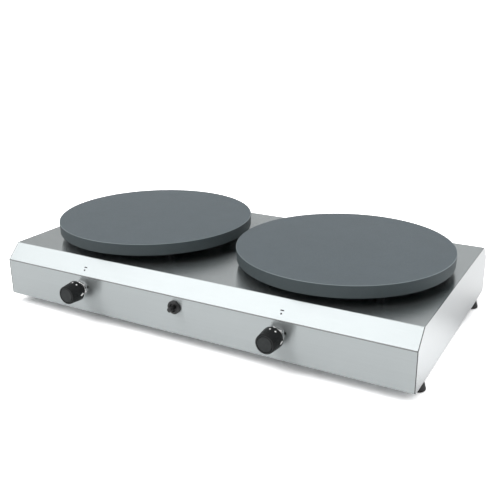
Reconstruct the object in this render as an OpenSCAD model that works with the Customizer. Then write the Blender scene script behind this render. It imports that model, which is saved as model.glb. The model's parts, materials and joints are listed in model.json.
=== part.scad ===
// Countertop gas crepe maker with two loose cast-iron griddle plates.
// Lengths are millimetres, +X runs to the right of the fascia, +Y to the rear and +Z up.
// The origin is on the worktop, below the middle of the overall box.

/* [Casing] */
// Width of the casing across the side panels
case_w = 845; // [820:1:1000]
// Depth of the casing from fascia to rear
case_d = 464; // [450:1:540]
// Height of the fascia from its lower edge to the fold
fascia_h = 73; // [68:1:110]
// Depth of the sloped band along the front and the rear
chamfer_run = 28; // [10:1:34]
// Height of the sloped band
chamfer_rise = 29; // [25:1:50]
// Thickness of the stainless sheet
sheet_t = 1.5; // [1:0.1:2]
// Outer radius of the folds
bend_r = 3; // [2.5:0.1:4]
// Width of the lips folded in under the fascia and the rear panel
under_lip = 14; // [12:1:24]
// Width of the flanges folded in under the side panels
side_flange = 36; // [30:1:50]
// Height of the cover's lip down the rear
rear_lip = 18; // [14:1:24]
// Height of the base tray's turned-up edge
tray_lip = 10; // [5:1:14]

/* [Vents] */
// Number of air slots under each burner
tray_slots = 7; // [3:1:8]
// Length of an air slot in the base tray
tray_slot_l = 120; // [60:1:140]
// Number of vent slots in each group on the rear panel
rear_slots = 8; // [4:1:10]
// Height of a vent slot on the rear panel
rear_slot_h = 30; // [15:1:36]
// Width of every slot
slot_w = 7; // [4:0.5:9]

/* [Feet] */
// Height of the casing above the worktop
foot_h = 18; // [12:1:30]
// Radius of a foot at the worktop
foot_r = 13.5; // [12:0.5:17]
// Radius of a foot where it meets the casing
foot_top_r = 9; // [8:0.5:12]
// Distance of a foot's axis from the side
foot_inset_x = 11; // [10:0.5:24]
// Distance of a foot's axis from the front or rear
foot_inset_y = 51.5; // [40:0.5:90]

/* [Griddle plates] */
// Diameter of a griddle plate
plate_d = 400; // [390:1:410]
// Height of a plate's rim
plate_h = 23.5; // [20:0.5:35]
// Thickness of a plate's cooking face
plate_skin = 12; // [8:0.5:13]
// Thickness of the rim below the cooking face
rim_w = 14; // [8:1:20]
// Radius of the upper edge
plate_edge_r = 2; // [1:0.5:4]
// How much narrower the rim is at its lower edge
plate_draft = 0.8; // [0:0.1:2]
// Distance between the plate centres
plate_pitch = 426; // [414:1:436]
// Plate centre ahead of the casing's middle
plate_forward = 10; // [-5:1:14]
// Gap between deck and plate
plate_gap = 15; // [10:1:40]

/* [Plate pillars] */
// Pillars under each plate
pillar_count = 4; // [3:1:4]
// Distance of a pillar's axis from the plate's edge
pillar_inset = 46; // [40:1:49]
// Diameter of a pillar
pillar_d = 14; // [10:1:16]
// Diameter of the pin that locates the plate
pin_d = 8; // [5:0.5:10]
// Height of the pin
pin_h = 6; // [4:0.5:8]
// Diameter of the bosses under a plate
boss_d = 24; // [18:1:30]
// Diameter of the pillar's stud
stud_d = 6; // [4:0.5:8]

/* [Burner bowls] */
// Distance of the deck opening's edge from the plate's edge
opening_inset = 66; // [62:1:72]
// Depth of a bowl below the deck
bowl_depth = 32; // [28:1:34]
// Thickness of a bowl
bowl_t = 1.2; // [0.8:0.1:1.5]
// Width of the bowl's flange on the deck
bowl_flange = 6; // [4:0.5:10]

/* [Burners] */
// Diameter of the burner's hub
hub_d = 64; // [54:1:76]
// Height of the hub above the bowl's floor
hub_h = 27; // [24:0.5:30]
// Diameter of an arm
arm_d = 16; // [12:0.5:18]
// Distance of an arm's end from the bowl's wall
arm_inset = 20; // [15:1:35]
// Flame ports along an arm
arm_ports = 5; // [3:1:7]
// Wall of the burner casting
burner_wall = 2.5; // [2:0.25:3]
// Outer radius of the mixing tube
mixer_r = 14; // [12:0.5:16]
// Length of the mixing tube from the hub's axis to its mouth
mixer_l = 97; // [85:1:105]
// Radius of the mixing tube's mouth
mouth_r = 18; // [17:0.5:20]
// Angle of the mixing tube away from straight ahead
mixer_angle = 8.4; // [6:0.2:10]

/* [Controls] */
// Distance between the knobs
knob_pitch = 420; // [410:1:426]
// Offset of the pair of knobs to the left
knob_shift = 23; // [19:1:26]
// Height of the knob axis above the casing's lower edge
knob_z = 47; // [44:0.5:50]
// Gap between fascia and knob
knob_standoff = 13; // [12:0.5:20]
// Length of a knob
knob_l = 29; // [24:0.5:34]
// Radius of a knob at its back
skirt_r = 19.5; // [18:0.5:24]
// Radius of a knob's grip at the front
grip_r = 17.5; // [14:0.5:18]
// Number of flutes around the grip
flutes = 24; // [12:1:30]
// Diameter of a spindle
spindle_d = 10; // [8:0.5:11]
// Travel of a knob when pushed
push_travel = 5; // [3:0.5:6]
// Offset of the igniter to the left
igniter_shift = 16; // [0:1:40]
// Height of the igniter above the casing's lower edge
igniter_z = 53.5; // [50:0.5:56]
// Radius of the igniter's bezel
bezel_r = 12.5; // [11:0.5:15]
// Thickness of the bezel
bezel_h = 5; // [3:0.5:6]
// Radius of the igniter's button
button_r = 4.25; // [3:0.25:5]
// How far the button stands out of the fascia
button_out = 18; // [14:0.5:20]
// Travel of the button
button_travel = 7; // [4:0.5:7]

/* [Gas line] */
// Outer radius of the gas rail
rail_r = 8.5; // [7:0.5:9]
// Wall of the gas rail
rail_wall = 2; // [1.5:0.25:2.5]
// Distance of the rail's axis behind the fascia
rail_back = 36; // [32:1:38]
// Distance of the rail's axis below the knob axis
rail_drop = 22; // [20:0.5:23]
// Distance of the gas inlet from the right side
inlet_inset = 102.5; // [82.5:0.5:122.5]
// How far the inlet stands out behind the casing
inlet_reach = 26; // [24:1:40]
// Radius of the inlet's half-inch pipe thread
thread_r = 10.4775; // [8:0.0005:10.5]
// Outer radius of the outlet tubes
tube_r = 4; // [3:0.25:5]

/* [Hidden] */
$fn = 64;

// The two halves of the cooker
left = -1;
right = 1;
sides = [left, right];

// Clearances: loose holes, parts that only touch, running shafts, and the overshoot of cuts
loose = 0.5;
seat_gap = 0.1;
running = 0.05;
pin_gap = 0.3;
cut = 1;

// Small broken edges
edge = 1;

// Heights and faces of the casing
fascia_y = -case_d / 2;
rear_y = case_d / 2;
fold_z = foot_h + fascia_h;
deck_z = fold_z + chamfer_rise;
inner_x = case_w / 2 - sheet_t;
tray_z = foot_h + sheet_t;
tray_top = tray_z + sheet_t;
tray_gap = bend_r + loose;
rear_face_y = rear_y - sheet_t;
rear_panel_top = fold_z - bend_r - loose;

// Slots
rear_slot_pitch = 2 * slot_w;
rear_slot_z = foot_h + fascia_h / 2;
tray_slot_pitch = 4 * slot_w;
tray_slot_back = 40;

// Screws of the casing and the feet
screw_r = 2;
screw_head_r = 3.6;
screw_head_h = 2.2;
screw_l = 8;
under_screw_end = 172.5;
under_screw_x = case_w / 2 - under_screw_end;
under_screw_edge = 5;
under_screw_in = under_lip - under_screw_edge;
rear_screw_count = 6;
rear_screw_end = 47.5;
rear_screw_pitch = (case_w - 2 * rear_screw_end) / (rear_screw_count - 1);
rear_screw_edge = 7;
rear_screw_drop = rear_lip - rear_screw_edge;
foot_screw_r = 3;
foot_screw_head_r = 6;
foot_screw_head_h = 3.5;
foot_screw_depth = 9;
foot_band = 3;

// Plates, pillars and bowls
plate_r = plate_d / 2;
plate_y = -plate_forward;
plate_z = deck_z + plate_gap;
pillar_ring_r = plate_r - pillar_inset;
pillar_start_angle = 45;
stud_l = 12;
nut_h = 5;
rib_r = 100;
rib_w = 8;
rib_drop = 5;
opening_r = plate_r - opening_inset;
bowl_r = opening_r - loose;
floor_top = deck_z - bowl_depth;
floor_z = floor_top - bowl_t;
air_hole_r = 8;
air_hole_ring_r = 60;
arm_count = 8;
arm_step = 360 / arm_count;
arm_lift = hub_h - arm_d / 2 - burner_wall;
arm_reach = bowl_r - arm_inset;
port_r = 1.5;
hub_margin = 8;

// Mixing tube and injector, measured along the tube from the hub's axis
mixer_wall = 2;
mixer_drop = 4;
mixer_z = foot_h + knob_z - mixer_drop;
neck_flange_w = 6;
neck_flange_r = mixer_r + neck_flange_w;
neck_flange_t = 2;
neck_insert = 6;
throat_step = 5;
throat_r = mixer_r - throat_step;
mouth_l = 15;
throat_l = 35;
bracket_t = 2;
bracket_margin = 4;
bracket_half_w = mixer_r + bracket_margin;
injector_gap = 3;
nozzle_l = 11;
nozzle_r = 3;
jet_r = 1;
injector_r = 7;
injector_hex_r = 9.8;
injector_hex_l = 8;
injector_tail_l = 10;
tube_insert = 6;
injector_plate_s = mixer_l + injector_gap + nozzle_l;
injector_end_s = injector_plate_s + bracket_t + injector_hex_l + injector_tail_l;
bracket_top = mixer_r + bracket_margin;

// Gas tap, measured inwards from the fascia's outer face
tap_z = foot_h + knob_z;
tap_d = 30;
bonnet_u = 8;
bonnet_t = 3;
bonnet_d = 36;
neck_r = 8;
neck_nut_r = 15;
neck_nut_h = 4.5;
neck_nut_face_r = 12.6;
neck_nut_base_r = 16.4;
neck_nut_turn = 15;
neck_end_u = -neck_nut_h - edge;
body_u = bonnet_u + bonnet_t;
collar_r = 8.5;
collar_t = 3;
spring_wire = 1.2;
spring_r = 6.4;
spring_turns = 4;
spring_closed_l = (spring_turns + 1) * spring_wire;
spring_spare = 1;
chamber_l = collar_t + push_travel + spring_closed_l + spring_spare;
chamber_r = 10;
plug_u = body_u + chamber_l;
plug_l = 24;
plug_front_r = 9;
plug_rear_r = 7.4;
plug_bore_r = 2.5;
body_wall = 8;
body_end_u = plug_u + plug_l + body_wall;
valve_socket_r = 5;
valve_r = 7.5;
valve_l = 22;
valve_nut_r = 9.5;
valve_nut_l = 8;
valve_end_u = body_end_u + valve_nut_l + valve_l;
collar_u = body_u + 2 * seat_gap;
tang = 5.4;
tang_l = 10;
tang_gap = 0.15;
spindle_flat = 1.5;
knob_socket_l = 18;
shoulder_l = 12;
bevel = 2;
flute_r = 0.5;
grip_l = knob_l - bevel - shoulder_l;
shoulder_r = grip_r + (skirt_r - grip_r) * grip_l / (knob_l - bevel);
grip_lean = atan((shoulder_r - grip_r) / grip_l);
saddle_w = 30;
saddle_l = 32;
rail_port_r = 2.5;
outlet_u = 30;
outlet_reach = 21;
outlet_boss_r = 7;
tube_wall = 1;
tube_bend = 14;
tube_corners = 12;
clamp_t = 4;
clamp_split = 0.4;
clamp_screw_r = 2;
clamp_screw_offset = 12;
clamp_screw_depth = 10;
// Hole beside each knob for the screwdriver that sets the low flame
access_r = 2.5;
access_right = 16;
access_up = 5.5;

// Rail, clips and inlet
inlet_x = case_w / 2 - inlet_inset;
rail_y = fascia_y + rail_back;
rail_z = tap_z - rail_drop;
rail_overhang = 30;
rail_bend = 40;
clip_w = 12;
clip_l = 24;
clip_xs = [-90, 90];
inlet_hex_r = 17;
inlet_hex_l = 8;
inlet_socket_l = 12;
inlet_socket_wall = 4;
inlet_socket_r = rail_r + inlet_socket_wall;
thread_relief = 0.6;
inlet_barrel_r = thread_r + thread_relief;
inlet_barrel_l = 8;
inlet_bore_r = 6.5;
inlet_chamfer = 1.5;
inlet_nut_r = 19;
inlet_nut_l = 6;
// Room for the inlet's hexagon in the base tray's turned-up edge
tray_notch = 2 * sheet_t + inlet_hex_l + loose;

// Probes at the burner
probe_r = 3;
probe_inset = 44;
probe_ring_r = bowl_r - probe_inset;
probe_above = 20;
probe_below = 8;
probe_nut_r = 6;
probe_nut_h = 3;
thermocouple_angle = -125;
electrode_angle = 55;
electrode_r = 3.5;
tip_r = 1;
tip_rise = 8;
tip_reach = 10;
wire_r = 1.5;
wire_bend = 8;
lead_r = 2.5;
lead_bend = 10;
lead_drop = 20;

// Igniter, measured inwards from the fascia's outer face
barrel_r = 9;
barrel_l = 40;
recess_r = 8;
recess_l = 3;
button_chamber_u = 6;
button_collar_t = 3;
button_collar_w = 2;
button_collar_r = button_r + button_collar_w;
button_chamber_r = button_collar_r + loose;
button_spring_wire = 1;
button_spring_turns = 6;
button_spring_room = 3 * button_spring_turns * button_spring_wire;
button_chamber_l = button_collar_t + button_travel + button_spring_room;
igniter_nut_r = 14;
igniter_nut_h = 6;
terminal_r = 1.5;
terminal_l = 8;
terminal_offset = 4;
button_spring_r = button_r + 0.5;

// Places that several parts share
function plate_x(side) = side * plate_pitch / 2;
function tap_x(side) = side * knob_pitch / 2 - knob_shift;
function pillar_angles() = [for (i = [0 : pillar_count - 1]) pillar_start_angle + i * 360 / pillar_count];
function foot_spots() = [for (x = sides, y = sides)
    [x * (case_w / 2 - foot_inset_x), y * (case_d / 2 - foot_inset_y)]];
function rear_screw_xs() =
    [for (i = [0 : rear_screw_count - 1]) (i - (rear_screw_count - 1) / 2) * rear_screw_pitch];
function under_screw_spots() = [for (x = sides)
    each [for (y = [fascia_y + under_screw_in, rear_face_y - under_screw_in]) [x * under_screw_x, y]]];
function ring_spot(side, radius, angle) =
    [plate_x(side) + radius * cos(angle), plate_y + radius * sin(angle)];
function electrode_at(side) = ring_spot(side, probe_ring_r, -90 - side * electrode_angle);
function thermocouple_at(side) = ring_spot(side, probe_ring_r, thermocouple_angle);
// Point on the mixing tube's line at distance s ahead of the hub
function mixer_point(side, s) =
    [plate_x(side) + s * sin(mixer_angle), plate_y - s * cos(mixer_angle), mixer_z];

// Knobs reach further forward than the inlet reaches back, so the casing sits behind the middle
frame_shift_y = (knob_standoff + knob_l - inlet_reach) / 2;

// Folded sheet outlines, drawn in the Y-Z plane
function unit(v) = v / norm(v);
function left_of(d) = [-d[1], d[0]];
function heading(path, i) = unit(path[i + 1] - path[i]);
// The path moved sideways by t, to its left
function moved(path, t) = [for (i = [0 : len(path) - 1])
    let(a = left_of(heading(path, max(i - 1, 0))), b = left_of(heading(path, min(i, len(path) - 2))))
    path[i] + t * (a + b) / (1 + a * b)];
// One corner between headings a and b, as an arc of radius r
function corner(p, a, b, r, steps) =
    let(turn = atan2(a[0] * b[1] - a[1] * b[0], a * b), s = sign(turn), n = s * left_of(a))
    let(c = p - r * tan(abs(turn) / 2) * a + r * n)
    [for (k = [0 : steps]) let(w = turn * k / steps)
        c - r * [n[0] * cos(w) - n[1] * sin(w), n[0] * sin(w) + n[1] * cos(w)]];
function rounded(path, r, steps = 4) = concat([path[0]],
    [for (i = [1 : len(path) - 2]) each corner(path[i], heading(path, i - 1), heading(path, i), r, steps)],
    [path[len(path) - 1]]);
function reversed(path) = [for (i = [len(path) - 1 : -1 : 0]) path[i]];
// Sheet on the inner side of a path; side is 1 where that is the left
function folded(path, side) =
    concat(rounded(path, bend_r), reversed(rounded(moved(path, side * sheet_t), bend_r - sheet_t)));

// Outer line of the cover, from the lip under the fascia over the deck to the lip down the rear
cover_path = [
    [fascia_y + under_lip, foot_h],
    [fascia_y, foot_h],
    [fascia_y, fold_z],
    [fascia_y + chamfer_run, deck_z],
    [rear_y - chamfer_run, deck_z],
    [rear_y, fold_z],
    [rear_y, fold_z - rear_lip]
];
rear_path = [
    [rear_face_y - under_lip, foot_h],
    [rear_face_y, foot_h],
    [rear_face_y, rear_panel_top]
];
// The side panel closes the cover's outline at the bottom
panel_path = [
    [0, foot_h],
    [fascia_y, foot_h],
    [fascia_y, fold_z],
    [fascia_y + chamfer_run, deck_z],
    [rear_y - chamfer_run, deck_z],
    [rear_y, fold_z],
    [rear_y, foot_h],
    [0, foot_h]
];

// Frames that the parts are drawn in
module in_frame() translate([0, frame_shift_y, 0]) children();
module along_x(length) translate([-length / 2, 0, 0]) rotate([90, 0, 90]) linear_extrude(length) children();
// +Z of the child points into the casing, and its +Y points down
module from_fascia(x, z) translate([x, fascia_y, z]) rotate([-90, 0, 0]) children();
module at_tap(side) from_fascia(tap_x(side), tap_z) children();
module at_igniter() from_fascia(-igniter_shift, foot_h + igniter_z) children();
module at_plate(side, z) translate([plate_x(side), plate_y, z]) children();
// +Z of the child runs along the mixing tube to the front, and its +Y points up
module along_mixer(side) at_plate(side, mixer_z) rotate([0, 0, mixer_angle]) rotate([90, 0, 0]) children();
module at_inlet() translate([inlet_x, rear_y, rail_z]) rotate([-90, 0, 0]) children();
module around(radius, angles) for (a = angles) rotate([0, 0, a]) translate([radius, 0, 0]) children();

// Shapes that repeat
module slot(length, width, depth) {
    straight = length - width;
    translate([-straight / 2, -width / 2, 0]) cube([straight, width, depth]);
    for (end = sides) translate([end * straight / 2, 0, 0]) cylinder(d = width, h = depth);
}
module pan_screw(r, length, head_r, head_h) {
    translate([0, 0, -head_h]) cylinder(r = head_r, h = head_h);
    cylinder(r = r, h = length);
}
module hex(r, h) cylinder(r = r, h = h, $fn = 6);
// Closed skin over rings of points; a loop of rings joins its last ring to its first
module loft(rings, loop = false) {
    corners = len(rings[0]);
    count = len(rings);
    tail = (count - 1) * corners;
    skin = [for (i = [0 : loop ? count - 1 : count - 2], k = [0 : corners - 1])
        let(p = i * corners, q = (i + 1) % count * corners, next = (k + 1) % corners)
        each [[p + k, p + next, q + k], [p + next, q + next, q + k]]];
    first = [for (k = [1 : corners - 2]) [0, k + 1, k]];
    end = [for (k = [1 : corners - 2]) [tail, tail + k, tail + k + 1]];
    polyhedron(points = [for (ring = rings) each ring], faces = loop ? skin : concat(skin, first, end));
}
// Corner b of a route from a to c, bent to a radius
function bent(a, b, c, bend, steps = 5) =
    let(ahead = unit(b - a), turn = acos(ahead * unit(c - b)))
    let(inward = unit(unit(c - b) - cos(turn) * ahead), start = b - bend * tan(turn / 2) * ahead)
    [for (k = [0 : steps]) let(w = turn * k / steps)
        start + bend * (1 - cos(w)) * inward + bend * sin(w) * ahead];
function bent_route(points, bend) = concat([points[0]],
    [for (i = [1 : len(points) - 2]) each bent(points[i - 1], points[i], points[i + 1], bend)],
    [points[len(points) - 1]]);
function tangents(path) = [for (i = [0 : len(path) - 1])
    unit(path[min(i + 1, len(path) - 1)] - path[max(i - 1, 0)])];
// Directions square to the tangents t that turn as little as they can
function normals(t, from, i = 0) = i == len(t) ? []
    : let(n = unit(from - (from * t[i]) * t[i])) concat([n], normals(t, n, i + 1));
function rod_rings(path, r, corners = 8) =
    let(t = tangents(path), n = normals(t, cross(t[0], abs(t[0][2]) < 0.9 ? [0, 0, 1] : [1, 0, 0])))
    [for (i = [0 : len(path) - 1]) [for (k = [0 : corners - 1])
        path[i] + r * (cos(360 * k / corners) * n[i] + sin(360 * k / corners) * cross(n[i], t[i]))]];
module coil(radius, wire, from, to, turns, steps = 12, corners = 6) {
    count = turns * steps;
    rise = (to - from - wire) / count;
    loft([for (i = [0 : count]) [for (k = [0 : corners - 1])
        let(a = 360 * i / steps, b = 360 * k / corners, out = radius + wire / 2 * cos(b))
        [out * cos(a), out * sin(a), from + wire / 2 * (1 + sin(b)) + rise * i]]]);
}

// Casing
module top_cover() color("gainsboro") difference() {
    along_x(2 * inner_x) polygon(folded(cover_path, -1));
    for (side = sides) {
        at_plate(side, deck_z - sheet_t - cut) cylinder(r = opening_r, h = sheet_t + 2 * cut);
        at_plate(side, deck_z - sheet_t - cut) around(pillar_ring_r, pillar_angles())
            cylinder(r = stud_d / 2 + loose / 2, h = sheet_t + 2 * cut);
        at_tap(side) translate([0, 0, -cut]) cylinder(r = neck_r + loose / 2, h = sheet_t + 2 * cut);
        at_tap(side) translate([access_right, -access_up, -cut])
            cylinder(r = access_r, h = sheet_t + 2 * cut);
    }
    at_igniter() translate([0, 0, -cut]) cylinder(r = barrel_r + loose, h = sheet_t + 2 * cut);
    rear_screw_places() translate([0, 0, -cut]) cylinder(r = screw_r + seat_gap, h = sheet_t + 2 * cut);
    under_screw_places() translate([0, 0, -cut]) cylinder(r = screw_r + seat_gap, h = sheet_t + 2 * cut);
}
module rear_screw_places() for (x = rear_screw_xs())
    translate([x, rear_y, fold_z - rear_screw_drop]) rotate([90, 0, 0]) children();
module under_screw_places() for (p = under_screw_spots()) translate([p[0], p[1], foot_h]) children();
module foot_places() for (p = foot_spots()) translate([p[0], p[1], foot_h]) children();
module side_panel(side) color("gainsboro") difference() {
    union() {
        translate([side * (inner_x + sheet_t / 2), 0, 0])
            along_x(sheet_t) polygon(rounded(panel_path, bend_r));
        translate([side > 0 ? inner_x - side_flange : -inner_x, fascia_y + under_lip + loose, foot_h])
            cube([side_flange, rear_face_y - fascia_y - 2 * (under_lip + loose), sheet_t]);
    }
    foot_places() translate([0, 0, -cut]) cylinder(r = foot_screw_r + seat_gap, h = sheet_t + 2 * cut);
}
module rear_panel() color("gainsboro") difference() {
    along_x(2 * (inner_x - loose)) polygon(folded(rear_path, 1));
    for (side = sides, i = [0 : rear_slots - 1])
        translate([plate_x(side) + (i - (rear_slots - 1) / 2) * rear_slot_pitch, rear_y, rear_slot_z])
            rotate([90, 90, 0]) slot(rear_slot_h, slot_w, 2 * sheet_t + cut);
    at_inlet() translate([0, 0, -2 * sheet_t - cut])
        cylinder(r = inlet_barrel_r + loose, h = sheet_t + 2 * cut);
    rear_screw_places() cylinder(r = screw_r + seat_gap, h = 2 * sheet_t + cut);
    under_screw_places() translate([0, 0, -cut]) cylinder(r = screw_r + seat_gap, h = sheet_t + 2 * cut);
}
module base_tray() color("silver") difference() {
    half_x = inner_x - loose;
    front = fascia_y + tray_gap;
    depth = rear_face_y - tray_gap - front;
    translate([-half_x, front, tray_z]) cube([2 * half_x, depth, tray_lip]);
    translate([-half_x + sheet_t, front + sheet_t, tray_top])
        cube([2 * (half_x - sheet_t), depth - 2 * sheet_t, tray_lip]);
    for (side = sides, i = [0 : tray_slots - 1])
        at_plate(side, tray_z - cut)
            translate([(i - (tray_slots - 1) / 2) * tray_slot_pitch, tray_slot_back, 0]) rotate([0, 0, 90])
                slot(tray_slot_l, slot_w, sheet_t + 2 * cut);
    foot_places() cylinder(r = foot_screw_r + seat_gap, h = 2 * sheet_t + cut);
    under_screw_places() cylinder(r = screw_r + seat_gap, h = 2 * sheet_t + cut);
    at_inlet() translate([0, 0, -tray_notch]) cylinder(r = inlet_hex_r + loose, h = tray_notch);
}
module casing_screws() color("silver") {
    rear_screw_places() pan_screw(screw_r, screw_l, screw_head_r, screw_head_h);
    under_screw_places() pan_screw(screw_r, screw_l, screw_head_r, screw_head_h);
}

// Feet
module foot(x, y) color("dimgray")
    translate([x * (case_w / 2 - foot_inset_x), y * (case_d / 2 - foot_inset_y), 0]) difference() {
        rotate_extrude() polygon([
            [0, 0], [foot_r - edge, 0], [foot_r, edge], [foot_r, foot_band], [foot_top_r, foot_h], [0, foot_h]
        ]);
        translate([0, 0, foot_h - foot_screw_depth])
            cylinder(r = foot_screw_r + seat_gap, h = foot_screw_depth + cut);
    }
module foot_screws() color("silver") for (p = foot_spots())
    translate([p[0], p[1], tray_top]) rotate([180, 0, 0])
        pan_screw(foot_screw_r, 2 * sheet_t + foot_screw_depth - cut, foot_screw_head_r, foot_screw_head_h);

// Griddle plates on their pillars
module griddle_plate(side) color("dimgray") at_plate(side, plate_z) difference() {
    low_r = plate_r - plate_draft;
    skin_z = plate_h - plate_skin;
    edge_r = plate_r - plate_edge_r;
    edge_z = plate_h - plate_edge_r;
    union() {
        rotate_extrude($fn = 128) polygon(concat(
            [[0, skin_z], [rib_r - rib_w / 2, skin_z], [rib_r - rib_w / 2, skin_z - rib_drop]],
            [[rib_r + rib_w / 2, skin_z - rib_drop], [rib_r + rib_w / 2, skin_z]],
            [[low_r - rim_w, skin_z], [low_r - rim_w, 0], [low_r - edge, 0], [low_r, edge]],
            [for (a = [0 : 15 : 90]) [edge_r + plate_edge_r * cos(a), edge_z + plate_edge_r * sin(a)]],
            [[0, plate_h]]
        ));
        around(pillar_ring_r, pillar_angles()) cylinder(d = boss_d, h = skin_z + cut);
    }
    around(pillar_ring_r, pillar_angles())
        translate([0, 0, -cut]) cylinder(r = pin_d / 2 + pin_gap, h = pin_h + 2 * cut);
}
module plate_pillars(side) color("silver") at_plate(side, deck_z) around(pillar_ring_r, pillar_angles()) {
    cylinder(d = pillar_d, h = plate_gap);
    translate([0, 0, plate_gap]) cylinder(d = pin_d, h = pin_h - edge);
    translate([0, 0, plate_gap + pin_h - edge]) cylinder(d1 = pin_d, d2 = pin_d - 2 * edge, h = edge);
    translate([0, 0, -stud_l]) cylinder(d = stud_d, h = stud_l);
}
module pillar_nuts() color("silver") for (side = sides)
    at_plate(side, deck_z - sheet_t - nut_h) around(pillar_ring_r, pillar_angles()) difference() {
        hex(stud_d, nut_h);
        translate([0, 0, -cut]) cylinder(r = stud_d / 2 + seat_gap, h = nut_h + 2 * cut);
    }

// Burners
module burner_bowl(side) color("gray") difference() {
    at_plate(side, 0) rotate_extrude($fn = 128) polygon([
        [mixer_r + loose, floor_z], [bowl_r, floor_z], [bowl_r, deck_z], [opening_r + bowl_flange, deck_z],
        [opening_r + bowl_flange, deck_z + bowl_t], [bowl_r - bowl_t, deck_z + bowl_t],
        [bowl_r - bowl_t, floor_top], [mixer_r + loose, floor_top]
    ]);
    at_plate(side, floor_z - cut) around(air_hole_ring_r, [0 : arm_step : 359])
        cylinder(r = air_hole_r, h = bowl_t + 2 * cut);
    for (p = [electrode_at(side), thermocouple_at(side)])
        translate([p[0], p[1], floor_z - cut]) cylinder(r = electrode_r + loose, h = bowl_t + 2 * cut);
}
module arm_places() for (i = [0 : arm_count - 1])
    rotate([0, 0, (i + 0.5) * arm_step]) translate([0, 0, arm_lift]) rotate([0, 90, 0]) children();
module star_burner(side) color("dimgray") at_plate(side, floor_top) difference() {
    port_pitch = (arm_reach - hub_d / 2 - 2 * hub_margin) / (arm_ports - 1);
    union() {
        cylinder(d = hub_d, h = hub_h);
        arm_places() cylinder(d = arm_d, h = arm_reach);
    }
    translate([0, 0, burner_wall]) cylinder(d = hub_d - 2 * burner_wall, h = hub_h - 2 * burner_wall);
    translate([0, 0, -cut]) cylinder(r = mixer_r + seat_gap, h = burner_wall + 2 * cut);
    arm_places() cylinder(d = arm_d - 2 * burner_wall, h = arm_reach - burner_wall);
    arm_places() for (k = [0 : arm_ports - 1]) translate([0, 0, hub_d / 2 + hub_margin + k * port_pitch])
        rotate([0, -90, 0]) cylinder(r = port_r, h = arm_d);
}
module mixing_tube(side) color("gray") difference() {
    bell = [[mixer_r, mixer_l - mouth_l], [mouth_r, mixer_l]];
    neck_top = floor_top - mixer_z + neck_insert;
    along_mixer(side) union() {
        rotate_extrude() polygon(concat([[0, 0], [mixer_r, 0]], bell, [[0, mixer_l]]));
        sphere(r = mixer_r);
        rotate([-90, 0, 0]) cylinder(r = mixer_r, h = neck_top);
        translate([0, floor_z - mixer_z, 0]) rotate([90, 0, 0])
            cylinder(r = neck_flange_r, h = neck_flange_t);
    }
    along_mixer(side) {
        rotate_extrude() polygon([
            [0, 0], [mixer_r - mixer_wall, 0], [throat_r, mixer_l - throat_l],
            [mouth_r - mixer_wall, mixer_l], [mouth_r - mixer_wall, mixer_l + cut], [0, mixer_l + cut]
        ]);
        sphere(r = mixer_r - mixer_wall);
        rotate([-90, 0, 0]) cylinder(r = mixer_r - mixer_wall, h = neck_top + cut);
    }
}
module injector(side) color("goldenrod") along_mixer(side) difference() {
    union() {
        translate([0, 0, mixer_l + injector_gap]) cylinder(r1 = nozzle_r, r2 = injector_r, h = nozzle_l);
        translate([0, 0, injector_plate_s]) cylinder(r = injector_r, h = bracket_t);
        translate([0, 0, injector_plate_s + bracket_t]) hex(injector_hex_r, injector_hex_l);
        translate([0, 0, injector_plate_s + bracket_t + injector_hex_l])
            cylinder(r = injector_r, h = injector_tail_l);
    }
    translate([0, 0, mixer_l]) cylinder(r = jet_r, h = injector_end_s - mixer_l);
    translate([0, 0, injector_end_s - tube_insert]) cylinder(r = tube_r + seat_gap, h = tube_insert + cut);
}
module injector_bracket(side) color("silver") along_mixer(side) difference() {
    base = tray_top - mixer_z;
    tube_s = mixer_l - mouth_l - bracket_t;
    union() {
        for (s = [tube_s, injector_plate_s]) translate([-bracket_half_w, base, s])
            cube([2 * bracket_half_w, bracket_top - base, bracket_t]);
        translate([-bracket_half_w, base, tube_s])
            cube([2 * bracket_half_w, bracket_t, injector_plate_s + bracket_t - tube_s]);
    }
    translate([0, 0, tube_s - cut]) cylinder(r = mixer_r + seat_gap, h = bracket_t + 2 * cut);
    translate([0, 0, injector_plate_s - cut]) cylinder(r = injector_r + seat_gap, h = bracket_t + 2 * cut);
}

// Gas taps and their controls
module tap_body(side) color("goldenrod") at_tap(side) difference() {
    union() {
        translate([0, 0, body_u]) cylinder(d = tap_d, h = body_end_u - body_u);
        translate([-saddle_w / 2, 0, rail_back - saddle_l / 2]) cube([saddle_w, rail_drop, saddle_l]);
        at_outlet() cylinder(r = outlet_boss_r, h = outlet_reach);
    }
    translate([0, 0, body_u - cut]) cylinder(r = chamber_r, h = chamber_l + cut);
    translate([0, 0, plug_u])
        cylinder(r1 = plug_front_r + running, r2 = plug_rear_r + running, h = plug_l);
    translate([0, 0, plug_u]) cylinder(r = valve_socket_r, h = body_end_u - plug_u + cut);
    translate([-saddle_w, rail_drop, rail_back]) rotate([0, 90, 0])
        cylinder(r = rail_r + running, h = 2 * saddle_w);
    translate([0, 0, rail_back]) rotate([-90, 0, 0]) cylinder(r = rail_port_r, h = rail_drop);
    at_outlet() cylinder(r = rail_port_r, h = outlet_reach);
    at_outlet() translate([0, 0, outlet_reach - tube_insert])
        cylinder(r = tube_r + seat_gap, h = tube_insert + cut);
    clamp_screw_places() translate([0, 0, -clamp_screw_depth])
        cylinder(r = clamp_screw_r + seat_gap, h = clamp_screw_depth + cut);
}
// +Z of the child points out of the tap's outlet, to the right
module at_outlet() translate([0, mixer_drop, outlet_u]) rotate([0, 90, 0]) children();
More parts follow.
